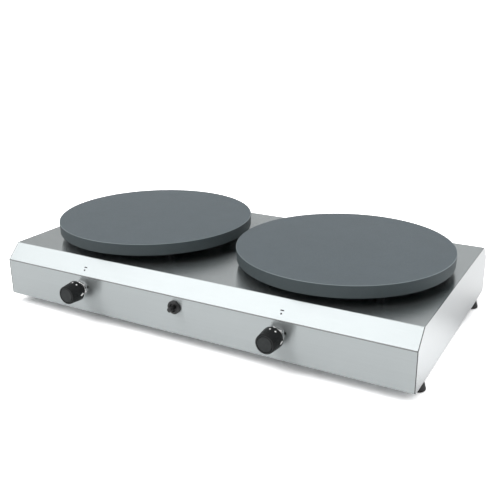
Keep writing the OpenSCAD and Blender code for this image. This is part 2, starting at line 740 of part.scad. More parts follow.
// Screw axes of the tap clamp, at the height of the rail's axis with +Z downwards
module clamp_screw_places() for (end = sides)
    translate([0, rail_drop, rail_back + end * clamp_screw_offset]) rotate([-90, 0, 0]) children();
module tap_clamp(side) color("silver") at_tap(side) difference() {
    translate([-saddle_w / 2, rail_drop + clamp_split, rail_back - saddle_l / 2])
        cube([saddle_w, rail_r + clamp_t - clamp_split, saddle_l]);
    translate([-saddle_w, rail_drop, rail_back]) rotate([0, 90, 0])
        cylinder(r = rail_r + running, h = 2 * saddle_w);
    clamp_screw_places() cylinder(r = clamp_screw_r + seat_gap, h = rail_r + clamp_t + cut);
}
module clamp_screws() color("silver") for (side = sides) at_tap(side) clamp_screw_places()
    translate([0, 0, rail_r + clamp_t]) rotate([180, 0, 0])
        pan_screw(clamp_screw_r, rail_r + clamp_t + clamp_screw_depth - cut, screw_head_r, screw_head_h);
module tap_bonnet(side) color("silver") at_tap(side) difference() {
    union() {
        translate([0, 0, bonnet_u]) cylinder(d = bonnet_d, h = bonnet_t);
        translate([0, 0, neck_end_u]) cylinder(r = neck_r, h = body_u - neck_end_u);
    }
    translate([0, 0, neck_end_u - cut])
        cylinder(r = spindle_d / 2 + running, h = body_u - neck_end_u + 2 * cut);
}
module tap_nuts() color("silver") for (side = sides)
    at_tap(side) translate([0, 0, -neck_nut_h]) difference() {
        intersection() {
            rotate([0, 0, neck_nut_turn]) hex(neck_nut_r, neck_nut_h);
            cylinder(r1 = neck_nut_face_r, r2 = neck_nut_base_r, h = neck_nut_h);
        }
        translate([0, 0, -cut]) cylinder(r = neck_r + seat_gap, h = neck_nut_h + 2 * cut);
    }
module tap_plug(side) color("goldenrod") at_tap(side) translate([0, 0, plug_u]) difference() {
    cylinder(r1 = plug_front_r, r2 = plug_rear_r, h = plug_l);
    square_hole = tang + 2 * tang_gap;
    translate([-square_hole / 2, -square_hole / 2, -cut])
        cube([square_hole, square_hole, tang_l + push_travel + 2 * cut]);
    cylinder(r = plug_bore_r, h = plug_l + cut);
}
module return_spring(side) color("silver") at_tap(side)
    coil(spring_r, spring_wire, collar_u + collar_t + seat_gap, plug_u - seat_gap, spring_turns);
module spindle(side) color("silver") at_tap(side) {
    tip = -knob_standoff - knob_socket_l;
    difference() {
        translate([0, 0, tip]) cylinder(d = spindle_d, h = collar_u - tip);
        translate([-spindle_d, spindle_d / 2 - spindle_flat, tip - cut])
            cube([2 * spindle_d, spindle_d, knob_socket_l + cut]);
    }
    translate([0, 0, collar_u]) cylinder(r = collar_r, h = collar_t);
    translate([-tang / 2, -tang / 2, collar_u + collar_t])
        cube([tang, tang, plug_u + tang_l - collar_u - collar_t]);
}
module knob(side) color([0.15, 0.16, 0.16]) at_tap(side) translate([0, 0, -knob_standoff]) difference() {
    rotate_extrude() polygon([
        [0, 0], [skirt_r - edge, 0], [skirt_r, -edge],
        [grip_r, bevel - knob_l], [grip_r - bevel, -knob_l], [0, -knob_l]
    ]);
    translate([0, 0, -shoulder_l]) around(shoulder_r, [0 : 360 / flutes : 359])
        rotate([180, grip_lean, 0]) cylinder(r = flute_r, h = knob_l, $fn = 24);
    difference() {
        translate([0, 0, -knob_socket_l]) cylinder(r = spindle_d / 2 + seat_gap, h = knob_socket_l + cut);
        translate([-spindle_d, spindle_d / 2 - spindle_flat + seat_gap, -knob_socket_l])
            cube([2 * spindle_d, spindle_d, knob_socket_l - cut]);
    }
}
module safety_valve(side) color("goldenrod") at_tap(side) translate([0, 0, body_end_u]) {
    hex(valve_nut_r, valve_nut_l);
    translate([0, 0, valve_nut_l]) cylinder(r = valve_r, h = valve_l);
}
module outlet_tube(side) color("goldenrod") {
    y = fascia_y + outlet_u;
    ahead = (plate_y - y) / cos(mixer_angle);
    route = [
        [tap_x(side) + outlet_reach - tube_insert + seat_gap, y, mixer_z],
        mixer_point(side, ahead),
        mixer_point(side, injector_end_s - tube_insert + seat_gap)
    ];
    path = bent_route(route, tube_bend);
    outer = rod_rings(path, tube_r, tube_corners);
    inner = rod_rings(path, tube_r - tube_wall, tube_corners);
    loft(concat(outer, reversed(inner)), loop = true);
}

// Flame sensor and ignition at each burner
module thermocouple(side) color("peru") {
    p = thermocouple_at(side);
    end_y = fascia_y + valve_end_u;
    route = [
        [p[0], p[1], floor_z],
        [p[0], p[1], tap_z],
        [tap_x(side), (p[1] + end_y) / 2, tap_z],
        [tap_x(side), end_y, tap_z]
    ];
    translate([p[0], p[1], floor_z - probe_below])
        cylinder(r = probe_r, h = floor_top - floor_z + probe_below + probe_above);
    translate([p[0], p[1], floor_top]) cylinder(r = probe_nut_r, h = probe_nut_h);
    loft(rod_rings(bent_route(route, wire_bend), wire_r));
}
module spark_electrode(side) color("white") {
    p = electrode_at(side);
    top = floor_top + probe_above;
    toward = -90 - side * electrode_angle - side * 90;
    translate([p[0], p[1], floor_z - probe_below])
        cylinder(r = electrode_r, h = top - floor_z + probe_below - tip_rise);
    translate([p[0], p[1], floor_top]) cylinder(r = probe_nut_r, h = probe_nut_h);
    translate([p[0], p[1], top - tip_rise - cut]) cylinder(r = tip_r, h = tip_rise + cut);
    translate([p[0], p[1], top]) {
        sphere(r = tip_r);
        rotate([0, 90, toward]) cylinder(r = tip_r, h = tip_reach);
    }
}
module ignition_lead(side) color("firebrick") {
    p = electrode_at(side);
    x = -igniter_shift + side * terminal_offset;
    y = fascia_y + barrel_l + terminal_l;
    z = foot_h + igniter_z;
    route = [
        [p[0], p[1], floor_z - probe_below],
        [p[0], p[1], z - lead_drop],
        [x, y + 3 * lead_drop, z - lead_drop],
        [x, y + lead_drop, z],
        [x, y, z]
    ];
    loft(rod_rings(bent_route(route, lead_bend), lead_r));
}

// Gas supply
module gas_rail() color("silver") {
    start_x = tap_x(left) - rail_overhang;
    end_y = rear_y - 2 * sheet_t - inlet_hex_l;
    difference() {
        rail_run(start_x, end_y, rail_r);
        rail_run(start_x + rail_wall, end_y + cut, rail_r - rail_wall);
        for (side = sides) translate([tap_x(side), rail_y, rail_z])
            cylinder(r = rail_port_r, h = rail_r + cut);
    }
}
// Round bar along the front and, after one bend, back to the inlet
module rail_run(start_x, end_y, r) {
    bend_x = inlet_x - rail_bend;
    bend_y = rail_y + rail_bend;
    translate([start_x, rail_y, rail_z]) rotate([0, 90, 0]) cylinder(r = r, h = bend_x - start_x);
    translate([bend_x, bend_y, rail_z]) rotate([0, 0, -90])
        rotate_extrude(angle = 90) translate([rail_bend, 0]) circle(r = r);
    translate([inlet_x, bend_y, rail_z]) rotate([-90, 0, 0]) cylinder(r = r, h = end_y - bend_y);
}
module rail_clips() color("silver") for (x = clip_xs) difference() {
    translate([x - clip_w / 2, rail_y - clip_l / 2, tray_top]) cube([clip_w, clip_l, rail_z - tray_top]);
    translate([x - clip_w, rail_y, rail_z]) rotate([0, 90, 0]) cylinder(r = rail_r + running, h = 2 * clip_w);
}
module gas_inlet() color("goldenrod") at_inlet() difference() {
    inside = -2 * sheet_t;
    hex_s = inside - inlet_hex_l;
    thread_l = inlet_reach - inlet_barrel_l - inlet_chamfer;
    union() {
        translate([0, 0, hex_s - inlet_socket_l]) cylinder(r = inlet_socket_r, h = inlet_socket_l);
        translate([0, 0, hex_s]) hex(inlet_hex_r, inlet_hex_l);
        translate([0, 0, inside]) cylinder(r = inlet_barrel_r, h = inlet_barrel_l - inside);
        translate([0, 0, inlet_barrel_l]) cylinder(r = thread_r, h = thread_l);
        translate([0, 0, inlet_reach - inlet_chamfer])
            cylinder(r1 = thread_r, r2 = thread_r - inlet_chamfer, h = inlet_chamfer);
    }
    translate([0, 0, hex_s - inlet_socket_l - cut])
        cylinder(r = rail_r + seat_gap, h = inlet_socket_l + cut);
    translate([0, 0, hex_s - cut]) cylinder(r = inlet_bore_r, h = inlet_reach - hex_s + 2 * cut);
}
module inlet_nut() color("goldenrod") at_inlet() translate([0, 0, -sheet_t]) difference() {
    hex(inlet_nut_r, inlet_nut_l);
    translate([0, 0, -cut]) cylinder(r = inlet_barrel_r + seat_gap, h = inlet_nut_l + 2 * cut);
}

// Push-button igniter
module igniter_body() color([0.1, 0.11, 0.11]) at_igniter() {
    difference() {
        union() {
            translate([0, 0, -bezel_h]) cylinder(r1 = bezel_r - edge, r2 = bezel_r, h = edge);
            translate([0, 0, edge - bezel_h]) cylinder(r = bezel_r, h = bezel_h - edge);
            cylinder(r = barrel_r, h = barrel_l);
        }
        translate([0, 0, -bezel_h - cut]) cylinder(r = recess_r, h = recess_l + cut);
        translate([0, 0, -bezel_h]) cylinder(r = button_r + running, h = bezel_h + button_chamber_u + cut);
        translate([0, 0, button_chamber_u]) cylinder(r = button_chamber_r, h = button_chamber_l);
    }
    for (side = sides) translate([side * terminal_offset, 0, barrel_l])
        cylinder(r = terminal_r, h = terminal_l);
}
module igniter_button() color([0.2, 0.21, 0.21]) at_igniter() {
    translate([0, 0, -button_out]) cylinder(r1 = button_r - edge, r2 = button_r, h = edge);
    collar = button_chamber_u + seat_gap;
    translate([0, 0, edge - button_out]) cylinder(r = button_r, h = button_out - edge + collar);
    translate([0, 0, collar]) cylinder(r = button_collar_r, h = button_collar_t);
}
module igniter_spring() color("silver") at_igniter()
    coil(button_spring_r, button_spring_wire, button_chamber_u + button_collar_t + 2 * seat_gap,
        button_chamber_u + button_chamber_l - seat_gap, button_spring_turns);
module igniter_nut() color([0.1, 0.11, 0.11]) at_igniter() translate([0, 0, sheet_t]) difference() {
    hex(igniter_nut_r, igniter_nut_h);
    translate([0, 0, -cut]) cylinder(r = barrel_r + seat_gap, h = igniter_nut_h + 2 * cut);
}

in_frame() top_cover();
in_frame() side_panel(left);  // left_side_panel
in_frame() side_panel(right);  // right_side_panel
in_frame() rear_panel();
in_frame() base_tray();
in_frame() casing_screws();
in_frame() foot(left, -1);  // front_left_foot
in_frame() foot(right, -1);  // front_right_foot
in_frame() foot(left, 1);  // rear_left_foot
in_frame() foot(right, 1);  // rear_right_foot
in_frame() foot_screws();
in_frame() griddle_plate(left);  // left_griddle_plate
in_frame() griddle_plate(right);  // right_griddle_plate
in_frame() plate_pillars(left);  // left_plate_pillars
in_frame() plate_pillars(right);  // right_plate_pillars
in_frame() pillar_nuts();
in_frame() burner_bowl(left);  // left_burner_bowl
in_frame() burner_bowl(right);  // right_burner_bowl
in_frame() star_burner(left);  // left_star_burner
in_frame() star_burner(right);  // right_star_burner
in_frame() mixing_tube(left);  // left_mixing_tube
in_frame() mixing_tube(right);  // right_mixing_tube
in_frame() injector(left);  // left_injector
in_frame() injector(right);  // right_injector
in_frame() injector_bracket(left);  // left_injector_bracket
in_frame() injector_bracket(right);  // right_injector_bracket
in_frame() tap_body(left);  // left_tap_body
in_frame() tap_body(right);  // right_tap_body
in_frame() tap_bonnet(left);  // left_tap_bonnet
in_frame() tap_bonnet(right);  // right_tap_bonnet
in_frame() tap_nuts();
in_frame() tap_plug(left);  // left_tap_plug
in_frame() tap_plug(right);  // right_tap_plug
in_frame() return_spring(left);  // left_return_spring
in_frame() return_spring(right);  // right_return_spring
in_frame() spindle(left);  // left_spindle
in_frame() spindle(right);  // right_spindle
in_frame() knob(left);  // left_knob
in_frame() knob(right);  // right_knob
in_frame() safety_valve(left);  // left_safety_valve
in_frame() safety_valve(right);  // right_safety_valve
in_frame() tap_clamp(left);  // left_tap_clamp
in_frame() tap_clamp(right);  // right_tap_clamp
in_frame() clamp_screws();
in_frame() outlet_tube(left);  // left_outlet_tube
in_frame() outlet_tube(right);  // right_outlet_tube
in_frame() thermocouple(left);  // left_thermocouple
in_frame() thermocouple(right);  // right_thermocouple
in_frame() spark_electrode(left);  // left_spark_electrode
in_frame() spark_electrode(right);  // right_spark_electrode
in_frame() ignition_lead(left);  // left_ignition_lead
in_frame() ignition_lead(right);  // right_ignition_lead
in_frame() gas_rail();
in_frame() rail_clips();
in_frame() gas_inlet();
in_frame() inlet_nut();
in_frame() igniter_body();
in_frame() igniter_button();
in_frame() igniter_spring();
in_frame() igniter_nut();
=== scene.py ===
"""Looks of a countertop gas crepe maker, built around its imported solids. Lengths are metres."""

import json
import math

import bmesh
import bpy
from mathutils import Matrix, Vector


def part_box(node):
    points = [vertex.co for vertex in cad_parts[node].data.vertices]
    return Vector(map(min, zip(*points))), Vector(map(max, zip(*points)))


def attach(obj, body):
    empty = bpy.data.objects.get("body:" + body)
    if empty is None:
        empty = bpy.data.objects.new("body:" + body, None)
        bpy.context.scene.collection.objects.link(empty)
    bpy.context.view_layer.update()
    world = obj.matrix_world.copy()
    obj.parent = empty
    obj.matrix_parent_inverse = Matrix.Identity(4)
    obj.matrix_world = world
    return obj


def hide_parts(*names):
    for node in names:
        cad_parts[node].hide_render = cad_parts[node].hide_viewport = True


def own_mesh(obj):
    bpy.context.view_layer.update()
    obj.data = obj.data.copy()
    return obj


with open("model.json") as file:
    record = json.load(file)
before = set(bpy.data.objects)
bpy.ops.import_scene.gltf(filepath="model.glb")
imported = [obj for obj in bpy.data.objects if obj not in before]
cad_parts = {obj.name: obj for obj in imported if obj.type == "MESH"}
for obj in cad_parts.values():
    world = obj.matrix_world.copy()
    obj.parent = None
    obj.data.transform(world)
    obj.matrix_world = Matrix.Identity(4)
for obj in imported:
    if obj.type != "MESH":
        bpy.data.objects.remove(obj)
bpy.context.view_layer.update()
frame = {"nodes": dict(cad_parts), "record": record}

MM = 0.001
NODES = frame["nodes"]
SIDES = ("left", "right")

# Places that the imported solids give, and the run and rise of the sloped band
COVER_LOW, COVER_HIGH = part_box("top_cover")
FASCIA_Y = COVER_LOW.y
CHAMFER_RUN = 28 * MM
CHAMFER_RISE = 29 * MM
FOLD_Z = COVER_HIGH.z - CHAMFER_RISE

# Camera of the photograph, placed from the lower edge of the fascia
CAMERA_AT = Vector((0.66692, FASCIA_Y - 0.93556, COVER_LOW.z + 0.56524))
AZIMUTH = math.radians(29.459)
ELEVATION = math.radians(19.444)
ROLL = math.radians(-0.515)
FOCAL_PX = 708.67
IMAGE_PX = 500
SENSOR = 36


def middle(node):
    """The middle of a node's box."""
    low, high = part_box(node)
    return (low + high) / 2


# Materials
NOISE_LOW = 0.3
NOISE_HIGH = 0.7


def set_inputs(node, values):
    """Sets a node's inputs by their names."""
    for key, value in values.items():
        node.inputs[key].default_value = value


class Shader:
    """A new material with short calls for its nodes."""

    def __init__(self, name):
        self.material = bpy.data.materials.new(name)
        self.material.use_nodes = True
        self.tree = self.material.node_tree
        self.bsdf = self.tree.nodes["Principled BSDF"]

    def node(self, kind, settings=(), **inputs):
        """A node whose inputs are sockets to link or values to set."""
        made = self.tree.nodes.new("ShaderNode" + kind)
        for key, value in dict(settings).items():
            setattr(made, key, value)
        for key, value in inputs.items():
            self.put(made, key.replace("_", " "), value)
        return made

    def put(self, node, key, value):
        """Links a socket to an input, or sets the input to a value."""
        socket = node.inputs[int(key)] if key.isdigit() else node.inputs[key]
        if isinstance(value, bpy.types.NodeSocket):
            self.tree.links.new(value, socket)
        else:
            socket.default_value = value

    def set(self, **inputs):
        """Sets or links the surface's own inputs."""
        for key, value in inputs.items():
            self.put(self.bsdf, key.replace("_", " "), value)

    def place(self, scale):
        """Coordinates in the part's frame, stretched by scale along each axis."""
        coords = self.node("TexCoord").outputs["Object"]
        return self.node("Mapping", Vector=coords, Scale=scale).outputs["Vector"]

    def noise(self, scale, detail=3.0, roughness=0.6):
        """Noise with about scale grains to the metre, or scale per axis."""
        stretch = (scale,) * 3 if isinstance(scale, (int, float)) else scale
        at = self.place(stretch)
        made = self.node("TexNoise", Vector=at, Scale=1.0, Detail=detail, Roughness=roughness)
        return made.outputs["Fac"]

    def math(self, operation, *values):
        """Result of a sum on sockets or numbers."""
        inputs = {str(place): value for place, value in enumerate(values)}
        return self.node("Math", {"operation": operation}, **inputs).outputs["Value"]

    def vector_math(self, operation, first, second):
        """Outputs of a sum on two vectors."""
        return self.node("VectorMath", {"operation": operation}, **{"0": first, "1": second}).outputs

    def mix(self, share, first, second):
        """Colours from first to second as share goes from 0 to 1."""
        return self.node("Mix", {"data_type": "RGBA"}, **{"0": share, "6": first, "7": second}).outputs[2]

    def between(self, value, low, high):
        """Noise spread over low to high."""
        made = self.node("MapRange", Value=value)
        set_inputs(made, {"From Min": NOISE_LOW, "From Max": NOISE_HIGH, "To Min": low, "To Max": high})
        return made.outputs["Result"]

    def tint(self, value, first, second):
        """Noise as colours from first to second."""
        ramp = self.node("ValToRGB", Fac=value)
        ends = ramp.color_ramp.elements
        ends[0].position, ends[0].color = NOISE_LOW, (*first, 1)
        ends[1].position, ends[1].color = NOISE_HIGH, (*second, 1)
        return ramp.outputs["Color"]

    def bump(self, height, strength, depth):
        """Normals of a surface that rises with height."""
        made = self.node("Bump", Height=height, Strength=strength, Distance=depth)
        return made.outputs["Normal"]


def shades(colour, spread):
    """A colour a little darker and a little lighter."""
    return tuple(c * (1 - spread) for c in colour), tuple(c * (1 + spread) for c in colour)


# Brushed sheet: grains to the metre along and across the lines, play of the roughness, painted shade colours
# for a fold and a cut end, and limits on the normal that tell a fold and a cut end from the rest
LINES_ALONG = 30
LINES_ACROSS = 3000
STREAKS_ALONG = 3
STREAKS_ACROSS = 260
LINE_PLAY = 0.03
# Painted shade: the next colour stands for the shade of the seam beside a cut end.
CUT_END_PAINTED_SHADE = (0.1, 0.105, 0.105)
# Painted shade: the next colour stands for the dark reflection in the bend of the fold.
FOLD_PAINTED_SHADE = (0.26, 0.27, 0.27)
FOLD_LEVEL = 0.36
FOLD_SPAN = 0.28
END_FACING = 0.3
# Keeps the tangent from vanishing on cut ends
TANGENT_NUDGE = (1e-3, 0, 0)
FINE_DEPTH = 0.05 * MM


def brushed(name, colour, roughness, grain, upright=0.0, spread=0.015, shaded_fold=False, shaded_cut_ends=False):
    """Sheet with fine lines along one axis, which smear reflections across them.

    Upright faces are rougher by upright. A fold below the slope carries painted shade, standing for the dark
    reflection in its bend, and cut ends across the lines carry painted shade of the seam beside them.
    """
    shader = Shader(name)
    fine = shader.noise([LINES_ALONG if axis == grain else LINES_ACROSS for axis in "XYZ"])
    grains = [STREAKS_ALONG if axis == grain else STREAKS_ACROSS for axis in "XYZ"]
    tone = shader.tint(shader.noise(grains, detail=2.0), *shades(colour, spread))
    along = [1.0 if axis == grain else 0.0 for axis in "XYZ"]
    normal = shader.node("NewGeometry").outputs["True Normal"]
    across = shader.vector_math("CROSS_PRODUCT", normal, along)["Vector"]
    level = shader.node("SeparateXYZ", Vector=normal).outputs["Z"]
    # Painted shade: the fold's band is darkened, standing for the dark reflection in its bend.
    if shaded_fold:
        is_fold = shader.math("COMPARE", level, FOLD_LEVEL, FOLD_SPAN)
        tone = shader.mix(is_fold, tone, (*FOLD_PAINTED_SHADE, 1))
    # Painted shade: cut ends across the lines are darkened, standing for the shade of the seam beside them.
    if shaded_cut_ends:
        facing = shader.vector_math("DOT_PRODUCT", normal, along)["Value"]
        is_end = shader.math("GREATER_THAN", shader.math("ABSOLUTE", facing), END_FACING)
        tone = shader.mix(is_end, tone, (*CUT_END_PAINTED_SHADE, 1))
        across = shader.vector_math("ADD", across, TANGENT_NUDGE)["Vector"]
    roughest = roughness + upright
    dull = shader.between(fine, roughest - LINE_PLAY, roughest + LINE_PLAY)
    shader.set(
        Base_Color=tone,
        Metallic=1.0,
        Roughness=shader.math("MULTIPLY_ADD", level, -upright, dull),
        Anisotropic=1.0,
        Tangent=across,
        Normal=shader.bump(fine, 0.03, FINE_DEPTH),
    )
    return shader.material


# Castings: grains of the slow patches, play of the roughness, and limits on the upward part of the normal
# that tell the top, painted lighter than the shaded sides, and its edge with a painted highlight from the
# rest
PATCHES = 28
PORE_PLAY = 0.08
GROUND_ROUGHNESS = 0.42
TOP_LEVEL = 0.3
EDGE_LEVEL = 0.62
EDGE_SPAN = 0.3


def cast(name, colour, roughness, grain, depth, spread=0.12, lit_top_colour=None, edge_highlight_colour=None):
    """Cast metal: fine grain, slow tone changes; a smoother top painted lighter, a painted highlight on its
    edge.
    """
    shader = Shader(name)
    patches = shader.noise(PATCHES, detail=5.0)
    pores = shader.noise(grain, detail=4.0)
    tone = shader.tint(patches, *shades(colour, spread))
    dull = shader.between(pores, roughness - PORE_PLAY, roughness + PORE_PLAY)
    if lit_top_colour:
        normal = shader.node("NewGeometry").outputs["Normal"]
        upward = shader.node("SeparateXYZ", Vector=normal).outputs["Z"]
        # Painted light: the top is lighter and the sides darker, as light falls from above.
        is_top = shader.math("GREATER_THAN", upward, TOP_LEVEL)
        tone = shader.mix(is_top, tone, shader.tint(patches, *shades(lit_top_colour, spread)))
        # Painted highlight: the rounded top edge is lighter, as if catching the light.
        is_edge = shader.math("COMPARE", upward, EDGE_LEVEL, EDGE_SPAN)
        tone = shader.mix(is_edge, tone, shader.tint(patches, *shades(edge_highlight_colour, spread)))
        dull = shader.math("MULTIPLY_ADD", is_top, GROUND_ROUGHNESS - roughness, dull)
    shader.set(
        Base_Color=tone,
        Roughness=dull,
        Normal=shader.bump(pores, 0.25, depth),
        Specular_IOR_Level=0.4,
    )
    return shader.material


# Bare and coated metal: grains to the metre, and play of the roughness
TARNISH = 60
TOOL_MARKS = 1800
MARK_PLAY = 0.07
ZINC_CRYSTALS = 140
ZINC_GRAIN = 2000
ZINC_PLAY = 0.06
ZINC_SPREAD = 0.07


def machined(name, colour, roughness, spread=0.1):
    """Turned or drawn bare metal with small tool marks and patches of tarnish."""
    shader = Shader(name)
    tarnish = shader.noise(TARNISH, detail=4.0)
    marks = shader.noise(TOOL_MARKS, detail=2.0)
    shader.set(
        Base_Color=shader.tint(tarnish, *shades(colour, spread)),
        Metallic=1.0,
        Roughness=shader.between(marks, roughness - MARK_PLAY, roughness + MARK_PLAY),
        Normal=shader.bump(marks, 0.08, FINE_DEPTH),
    )
    return shader.material


def galvanised(name, colour, roughness):
    """Zinc-coated sheet with its pale and dark crystals."""
    shader = Shader(name)
    crystals = shader.node("TexVoronoi", Vector=shader.place((ZINC_CRYSTALS,) * 3), Scale=1.0)
    tone = shader.node("SeparateColor", Color=crystals.outputs["Color"]).outputs["Red"]
    shader.set(
        Base_Color=shader.tint(tone, *shades(colour, ZINC_SPREAD)),
        Metallic=1.0,
        Roughness=shader.between(tone, roughness - ZINC_PLAY, roughness + ZINC_PLAY),
        Normal=shader.bump(shader.noise(ZINC_GRAIN), 0.06, FINE_DEPTH),
    )
    return shader.material


# Plastic, rubber and ink: grains to the metre, play of the roughness, and the limit on the normal of a front
# with painted light
DUST = 150
MOULD_PLAY = 0.06
FRONT_FACING = -0.98
INK_PATCHES = 1500
INK_GRAIN = 3000


def moulded(name, colour, roughness, grain=2600, depth=0.03 * MM, spread=0.15, sheen=0.5, front=None):
    """Moulded plastic or rubber with a fine eroded texture. Its front can be painted lighter, as lit from
    ahead.
    """
    shader = Shader(name)
    texture = shader.noise(grain, detail=2.0)
    dust = shader.noise(DUST, detail=4.0)
    tone = shader.tint(dust, *shades(colour, spread))
    # Painted light: faces that look straight ahead are lighter, standing for the light falling on them from
    # ahead.
    if front:
        normal = shader.node("NewGeometry").outputs["Normal"]
        ahead = shader.node("SeparateXYZ", Vector=normal).outputs["Y"]
        is_front = shader.math("LESS_THAN", ahead, FRONT_FACING)
        tone = shader.mix(is_front, tone, shader.tint(dust, *shades(front, spread)))
    shader.set(
        Base_Color=tone,
        Roughness=shader.between(texture, roughness - MOULD_PLAY, roughness + MOULD_PLAY),
        Normal=shader.bump(texture, 0.2, depth),
        Specular_IOR_Level=sheen,
    )
    return shader.material


def printed(name, colour):
    """Ink with slightly uneven cover."""
    shader = Shader(name)
    shader.set(
        Base_Color=shader.tint(shader.noise(INK_PATCHES), *shades(colour, 0.08)),
        Roughness=shader.between(shader.noise(INK_GRAIN), 0.45, 0.6),
    )
    return shader.material


STEEL = (0.493, 0.528, 0.535)
FINISHES = {
    "stainless": brushed("cover_steel", STEEL, 0.2, "X", upright=0.15, shaded_fold=True),
    "side_steel": brushed("side_steel", (0.46, 0.48, 0.49), 0.17, "Y", shaded_cut_ends=True),
    "sooted_steel": machined("sooted_steel", (0.07, 0.07, 0.072), 0.5, spread=0.2),
    "zinc_steel": galvanised("zinc_steel", (0.6, 0.61, 0.62), 0.42),
    "spring_steel": machined("spring_steel", (0.5, 0.5, 0.52), 0.3),
    "bowl_steel": machined("bowl_steel", (0.4, 0.39, 0.38), 0.45, spread=0.2),
    # The plates carry painted light: tops lighter than the shaded sides, and a painted highlight on the top
    # edge.
    "cast_iron": cast("cast_iron", (0.058, 0.075, 0.081), 0.7, 900, 0.08 * MM, spread=0.04,
                      lit_top_colour=(0.084, 0.11, 0.125), edge_highlight_colour=(0.195, 0.23, 0.245)),
    "burner_iron": cast("burner_iron", (0.07, 0.068, 0.068), 0.7, 500, 0.3 * MM),
    "brass": machined("brass", (0.78, 0.57, 0.25), 0.32),
    "copper": machined("copper", (0.75, 0.4, 0.26), 0.35),
    "nut_steel": machined("nut_steel", (0.5, 0.5, 0.5), 0.12, spread=0.03),
    "polished_steel": machined("polished_steel", (0.78, 0.78, 0.79), 0.14, spread=0.03),
    # The knobs' faces carry painted light: lighter than the grip.
    "black_plastic": moulded("black_plastic", (0.014, 0.0155, 0.016), 0.42, sheen=0.14,
                             front=(0.042, 0.046, 0.047)),
    "igniter_plastic": moulded("igniter_plastic", (0.014, 0.015, 0.0155), 0.4),
    "rubber": moulded("foot_rubber", (0.035, 0.035, 0.036), 0.75, grain=1200, depth=0.08 * MM),
    "white_ceramic": moulded("white_ceramic", (0.8, 0.79, 0.75), 0.18, grain=500, spread=0.04),
    "red_silicone": moulded("red_silicone", (0.42, 0.04, 0.03), 0.5, grain=1500),
}
WHITE_INK = printed("white_ink", (0.9, 0.9, 0.89))
GREY_INK = printed("grey_ink", (0.06, 0.06, 0.063))
OWN_FINISH = {
    "left_side_panel": "side_steel",
    "right_side_panel": "side_steel",
    "left_plate_pillars": "sooted_steel",
    "right_plate_pillars": "sooted_steel",
    "tap_nuts": "nut_steel",
}


def dress_solids():
    """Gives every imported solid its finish."""
    for row in frame["record"]["subparts"]:
        node = NODES[row["node"]]
        node.data.materials.clear()
        node.data.materials.append(FINISHES[OWN_FINISH.get(row["node"], row["material_slot"])])


# Meshes
WELD = 1e-7


def piece(name, points, faces, material, body, sharp_deg=30):
    """A mesh object that rides on a body."""
    mesh = bpy.data.meshes.new(name)
    mesh.from_pydata([tuple(p) for p in points], [], faces)
    shape = bmesh.new()
    shape.from_mesh(mesh)
    bmesh.ops.remove_doubles(shape, verts=shape.verts, dist=WELD)
    bmesh.ops.recalc_face_normals(shape, faces=shape.faces)
    shape.to_mesh(mesh)
    shape.free()
    mesh.shade_smooth()
    mesh.set_sharp_from_angle(angle=math.radians(sharp_deg))
    mesh.materials.append(material)
    made = bpy.data.objects.new(name, mesh)
    bpy.context.scene.collection.objects.link(made)
    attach(made, body)
    return made


def skin(rows, columns):
    """Faces of a grid of points whose columns close round."""
    return [
        (
            i * columns + k,
            i * columns + (k + 1) % columns,
            (i + 1) * columns + (k + 1) % columns,
            (i + 1) * columns + k,
        )
        for i in range(rows - 1)
        for k in range(columns)
    ]


# Knobs
SKIRT_R = 19.5 * MM
GRIP_R = 17.6 * MM
FACE_R = 15.4 * MM
SOCKET_R = 5.1 * MM
SOCKET_L = 18 * MM
SKIRT_L = 3 * MM
SHOULDER_L = 12 * MM
EDGE_R = 1 * MM
EDGE_STEPS = 4
BEVEL_START_DEG = 15
BEVEL_STEPS = 6
GROOVE_IN = 0.8 * MM
GROOVE_W = 1.5 * MM
GROOVE_D = 1 * MM
FLUTES = 24
FLUTE_R = 0.5 * MM
FLUTE_STEPS = 12
# Length over which a flute starts and ends, and share of its depth at its start, near its end and at its end
FLUTE_LEAD = 1 * MM
FLUTE_SHARES = (1, 1, 0.6)
# White marks: distance ahead of the knob's back, clock angle, half length, half width and lean
DOT_R = 1.7 * MM
KNOB_MARKS = (
    ("upper_dot", 8.8 * MM, -2, DOT_R, DOT_R, 0),
    ("right_dot", 8.8 * MM, 29, DOT_R, DOT_R, 0),
    ("dash", 6.5 * MM, 96, 3.8 * MM, 2.0 * MM, 28),
)
INK_T = 0.06 * MM


def arc(centre, radius, start, end, steps):
    """Points (ahead, radius) on an arc, with angles from straight outwards towards straight ahead."""
    return [
        (centre[0] + radius * math.sin(a), centre[1] + radius * math.cos(a))
        for a in (math.radians(start + (end - start) * k / steps) for k in range(steps + 1))
    ]


def side_radius(ahead, length):
    """Radius of the tapered side at a distance ahead of the knob's back."""
    share = (ahead - SKIRT_L) / (length - (GRIP_R - FACE_R) - SKIRT_L)
    return SKIRT_R - max(0, share) * (SKIRT_R - GRIP_R)


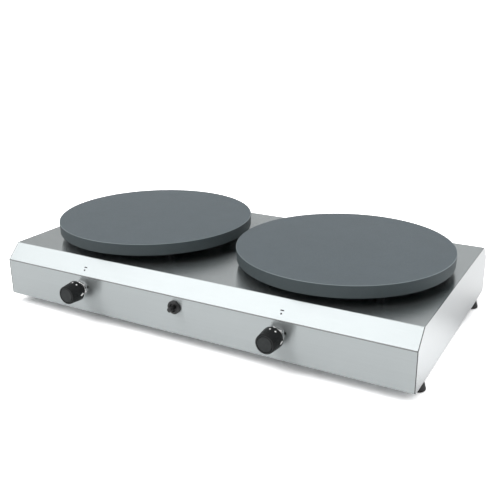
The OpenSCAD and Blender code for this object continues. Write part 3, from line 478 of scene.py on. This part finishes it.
def knob_profile(length):
    """(ahead, radius, share of the flute's depth) from the end of the socket to the middle of the face."""
    bevel = GRIP_R - FACE_R
    back = [(SOCKET_L, 0), (SOCKET_L, SOCKET_R), (0, SOCKET_R), (0, SKIRT_R - EDGE_R)]
    back += arc((EDGE_R, SKIRT_R - EDGE_R), EDGE_R, -90, 0, EDGE_STEPS)
    side = [(ahead, side_radius(ahead, length)) for ahead in (SKIRT_L, SHOULDER_L)]
    ends = (SHOULDER_L + FLUTE_LEAD, length - bevel - FLUTE_LEAD, length - bevel)
    grip = [(ahead, side_radius(ahead, length)) for ahead in ends]
    front = arc((length - bevel, FACE_R), bevel, BEVEL_START_DEG, 90, BEVEL_STEPS)
    rim = FACE_R - GROOVE_IN
    groove = [(length, rim), (length - GROOVE_D, rim - GROOVE_W / 2), (length, rim - GROOVE_W)]
    plain = [(a, r, 0) for a, r in back + side]
    fluted = [(a, r, share) for (a, r), share in zip(grip, FLUTE_SHARES)]
    return plain + fluted + [(a, r, 0) for a, r in front + groove + [(length, 0)]]


def flute_depth(angle):
    """How deep a flute cuts at an angle round the grip."""
    pitch = math.tau / FLUTES
    off = (angle + pitch / 2) % pitch - pitch / 2
    across = off * GRIP_R / FLUTE_R
    return FLUTE_R * math.sqrt(max(0.0, 1 - across * across))


def add_knob(side):
    """Knob with its white marks, in the place of its node."""
    low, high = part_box(side + "_knob")
    length = high.y - low.y
    axis = middle(side + "_spindle")

    def at(ahead, radius, angle):
        return Vector((axis.x + radius * math.sin(angle), high.y - ahead, axis.z + radius * math.cos(angle)))

    columns = FLUTES * FLUTE_STEPS
    angles = [math.tau * k / columns for k in range(columns)]
    rows = knob_profile(length)
    points = [at(ahead, radius - share * flute_depth(a), a) for ahead, radius, share in rows for a in angles]
    body = side + "_control"
    knob = piece(side + "_knob_shell", points, skin(len(rows), columns), FINISHES["black_plastic"], body,
                 sharp_deg=40)
    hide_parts(side + "_knob")
    for name, ahead, clock, long_half, wide_half, lean_deg in KNOB_MARKS:
        lean, turn = math.radians(lean_deg), math.radians(clock)

        def on_taper(x, y, height):
            forward = ahead + x * math.cos(lean) - y * math.sin(lean)
            radius = side_radius(forward, length)
            return at(forward, radius + height, turn + (x * math.sin(lean) + y * math.cos(lean)) / radius)

        add_spot(f"{side}_knob_{name}", on_taper, long_half, wide_half, WHITE_INK, body)


# Printed spots: height and size of each row, from the middle of the underside to the middle of the top
SPOT_CORNERS = 24
SPOT_ROWS = ((-INK_T, 0), (-INK_T, 1), (INK_T, 0.95), (INK_T, 0.6), (INK_T, 0.25), (INK_T, 0))


def add_spot(name, at, long_half, wide_half, material, body):
    """A printed spot with round ends. at(x, y, height) places its points on the face that carries it."""
    radius = min(long_half, wide_half)
    points = []
    for height, size in SPOT_ROWS:
        for k in range(SPOT_CORNERS):
            a = math.tau * k / SPOT_CORNERS
            x = math.copysign(long_half - radius, math.cos(a)) + radius * math.cos(a)
            y = math.copysign(wide_half - radius, math.sin(a)) + radius * math.sin(a)
            points.append(at(size * x, size * y, height))
    piece(name, points, skin(len(SPOT_ROWS), SPOT_CORNERS), material, body)


# Printed index above each knob, on the sloped band: distance above the fold, half length and half width
INDEX_RIGHT = 4 * MM
INDEX_MARKS = (("dash", 13 * MM, 3.6 * MM, 1.2 * MM), ("dot", 8.7 * MM, 1.8 * MM, 1.8 * MM))


def add_index(side):
    """Dash and dot on the sloped band above a knob."""
    axis = middle(side + "_spindle")
    normal = Vector((0, -CHAMFER_RISE, CHAMFER_RUN)).normalized()
    right = Vector((1, 0, 0))
    uphill = normal.cross(right)
    for name, up, long_half, wide_half in INDEX_MARKS:
        centre = Vector((axis.x + INDEX_RIGHT, FASCIA_Y + up * CHAMFER_RUN / CHAMFER_RISE, FOLD_Z + up))

        def on_band(x, y, height):
            return centre + right * x + uphill * y + normal * height

        add_spot(f"{side}_index_{name}", on_band, long_half, wide_half, GREY_INK, "chassis")


# Springs
SPRING_STEPS = 28
SPRING_CORNERS = 8
RETURN_WIRE = 1.2 * MM
RETURN_TURNS = 4
IGNITER_WIRE = 1 * MM
IGNITER_TURNS = 6


def add_spring(node, wire, turns, body):
    """Coil in the place of its node, riding on a body."""
    low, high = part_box(node)
    centre = (low + high) / 2
    radius = (high.x - low.x) / 2 - wire / 2
    count = turns * SPRING_STEPS
    length = high.y - low.y
    points = []
    for i in range(count + 1):
        turn = math.tau * i / SPRING_STEPS
        outward = Vector((math.cos(turn), 0, math.sin(turn)))
        at = low.y + wire / 2 + (length - wire) * i / count
        for k in range(SPRING_CORNERS):
            a = math.tau * k / SPRING_CORNERS
            points.append(
                Vector((centre.x, at, centre.z))
                + outward * (radius + wire / 2 * math.cos(a))
                + Vector((0, wire / 2 * math.sin(a), 0))
            )
    first = tuple(range(SPRING_CORNERS))
    last = tuple(count * SPRING_CORNERS + k for k in range(SPRING_CORNERS))
    faces = skin(count + 1, SPRING_CORNERS) + [first, last]
    coil = piece(node + "_coil", points, faces, FINISHES["spring_steel"], body, sharp_deg=50)
    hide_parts(node)
    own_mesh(coil)


# Stage
def look_matrix(at, azimuth, elevation, roll):
    """Camera matrix from its place and angles."""
    back = Vector((
        math.sin(azimuth) * math.cos(elevation),
        -math.cos(azimuth) * math.cos(elevation),
        math.sin(elevation),
    ))
    level = Vector((math.cos(azimuth), math.sin(azimuth), 0))
    upright = back.cross(level)
    right = level * math.cos(roll) + upright * math.sin(roll)
    up = upright * math.cos(roll) - level * math.sin(roll)
    matrix = Matrix((right, up, back)).transposed().to_4x4()
    matrix.translation = at
    return matrix


def add_camera():
    """Camera of the photograph."""
    data = bpy.data.cameras.new("photo_camera")
    data.sensor_width = SENSOR
    data.lens = FOCAL_PX / IMAGE_PX * SENSOR
    camera = bpy.data.objects.new("photo_camera", data)
    camera.matrix_world = look_matrix(CAMERA_AT, AZIMUTH, ELEVATION, ROLL)
    bpy.context.scene.collection.objects.link(camera)
    bpy.context.scene.camera = camera


# Floor and sweep: sizes, greys for the light that they throw back, brightness of the paper for the camera,
# and how far mirrored paper goes from its grey towards that
FLOOR_R = 40
FLOOR_CORNERS = 64
SWEEP_H = 14.6
FLOOR_DROP = 0.1 * MM
FLOOR_WHITE = 0.92
SWEEP_GREY = 0.35
PAPER_SEEN = 1.9
MIRRORED_SHARE = 0.25


def paper(name, grey):
    """Matt paper, seen and mirrored brighter than it is, so that only the object's shadow on it is grey."""
    shader = Shader(name)
    shader.set(Base_Color=(grey, grey, grey, 1), Roughness=0.9, Specular_IOR_Level=0.0)
    mirrored = grey + MIRRORED_SHARE * (PAPER_SEEN - grey)
    path = shader.node("LightPath").outputs
    surface = shader.bsdf.outputs["BSDF"]
    rays = ((PAPER_SEEN, ("Is Camera Ray",)), (mirrored, ("Is Glossy Ray", "Is Transmission Ray")))
    for level, kinds in rays:
        lit = shader.node("BsdfDiffuse", Color=(level, level, level, 1)).outputs["BSDF"]
        for kind in kinds:
            surface = shader.node("MixShader", Fac=path[kind], **{"1": surface, "2": lit}).outputs["Shader"]
    shader.put(shader.tree.nodes["Material Output"], "Surface", surface)
    return shader.material


def add_floor():
    """White floor with an upright sweep all round, far away."""
    mesh = bpy.data.meshes.new("floor")
    turns = [math.tau * k / FLOOR_CORNERS for k in range(FLOOR_CORNERS)]
    rim = [(FLOOR_R * math.cos(a), FLOOR_R * math.sin(a)) for a in turns]
    points = [(x, y, z) for z in (-FLOOR_DROP, SWEEP_H) for x, y in rim]
    mesh.from_pydata(points, [], [tuple(range(FLOOR_CORNERS)), *skin(2, FLOOR_CORNERS)])
    mesh.materials.append(paper("floor_paper", FLOOR_WHITE))
    mesh.materials.append(paper("sweep_paper", SWEEP_GREY))
    for face in mesh.polygons[1:]:
        face.material_index = 1
    floor = bpy.data.objects.new("floor", mesh)
    bpy.context.scene.collection.objects.link(floor)


# Sky of the studio: brightness at the horizon ahead and behind and overhead, and heights between which it
# grows
HORIZON_FRONT = 0.3
HORIZON_BACK = 0.62
OVERHEAD = 1.05
BAND_LOW = 0.3
BAND_HIGH = 0.75
# Suns: name, direction towards them, spread and strength
SUNS = (
    ("key", Vector((-0.49, -0.41, 0.76)), 50, 0.65),
    ("rim", Vector((0.62, 0.45, 0.64)), 50, 0.25),
)
# Spot on the floor right of the casing, which the side panel mirrors
SPOT_AT = Vector((0.75, -0.15, 0.9))
SPOT_TO = Vector((0.51, -0.04, 0))
SPOT_CONE_DEG = 22
SPOT_BLEND = 0.9
SPOT_SIZE = 0.02
SPOT_WATTS = 17


def add_lamp(name, kind, strength, toward):
    """A lamp that shines away from the direction toward."""
    data = bpy.data.lights.new(name, kind)
    data.energy = strength
    lamp = bpy.data.objects.new(name, data)
    lamp.rotation_euler = toward.to_track_quat("Z", "Y").to_euler()
    bpy.context.scene.collection.objects.link(lamp)
    return lamp


def add_lamps():
    """Two broad suns, and the spot on the floor."""
    for name, toward, spread_deg, strength in SUNS:
        add_lamp(name, "SUN", strength, toward).data.angle = math.radians(spread_deg)
    spot = add_lamp("floor_spot", "SPOT", SPOT_WATTS, SPOT_AT - SPOT_TO)
    spot.location = SPOT_AT
    spot.data.spot_size = math.radians(SPOT_CONE_DEG)
    spot.data.spot_blend = SPOT_BLEND
    spot.data.shadow_soft_size = SPOT_SIZE


def add_sky():
    """White light from all round that grows with height."""
    world = bpy.data.worlds.new("studio")
    bpy.context.scene.world = world
    world.use_nodes = True
    tree = world.node_tree
    sky = tree.nodes["Background"]
    sky.inputs["Color"].default_value = (1, 1, 1, 1)
    direction = tree.nodes.new("ShaderNodeSeparateXYZ")
    tree.links.new(tree.nodes.new("ShaderNodeTexCoord").outputs["Generated"], direction.inputs[0])
    horizon = tree.nodes.new("ShaderNodeMapRange")
    tree.links.new(direction.outputs["Y"], horizon.inputs["Value"])
    set_inputs(horizon, {"From Min": -1, "From Max": 1, "To Min": HORIZON_FRONT, "To Max": HORIZON_BACK})
    height = tree.nodes.new("ShaderNodeMapRange")
    height.interpolation_type = "SMOOTHSTEP"
    tree.links.new(direction.outputs["Z"], height.inputs["Value"])
    tree.links.new(horizon.outputs["Result"], height.inputs["To Min"])
    set_inputs(height, {"From Min": BAND_LOW, "From Max": BAND_HIGH, "To Max": OVERHEAD})
    tree.links.new(height.outputs["Result"], sky.inputs["Strength"])


dress_solids()
add_camera()
for side in SIDES:
    add_knob(side)
    add_index(side)
    coil = side + "_return_spring"
    add_spring(coil, RETURN_WIRE, RETURN_TURNS, side + "_plug")
add_spring("igniter_spring", IGNITER_WIRE, IGNITER_TURNS, "chassis")
add_floor()
add_lamps()
add_sky()
bpy.context.scene.view_settings.view_transform = "Standard"
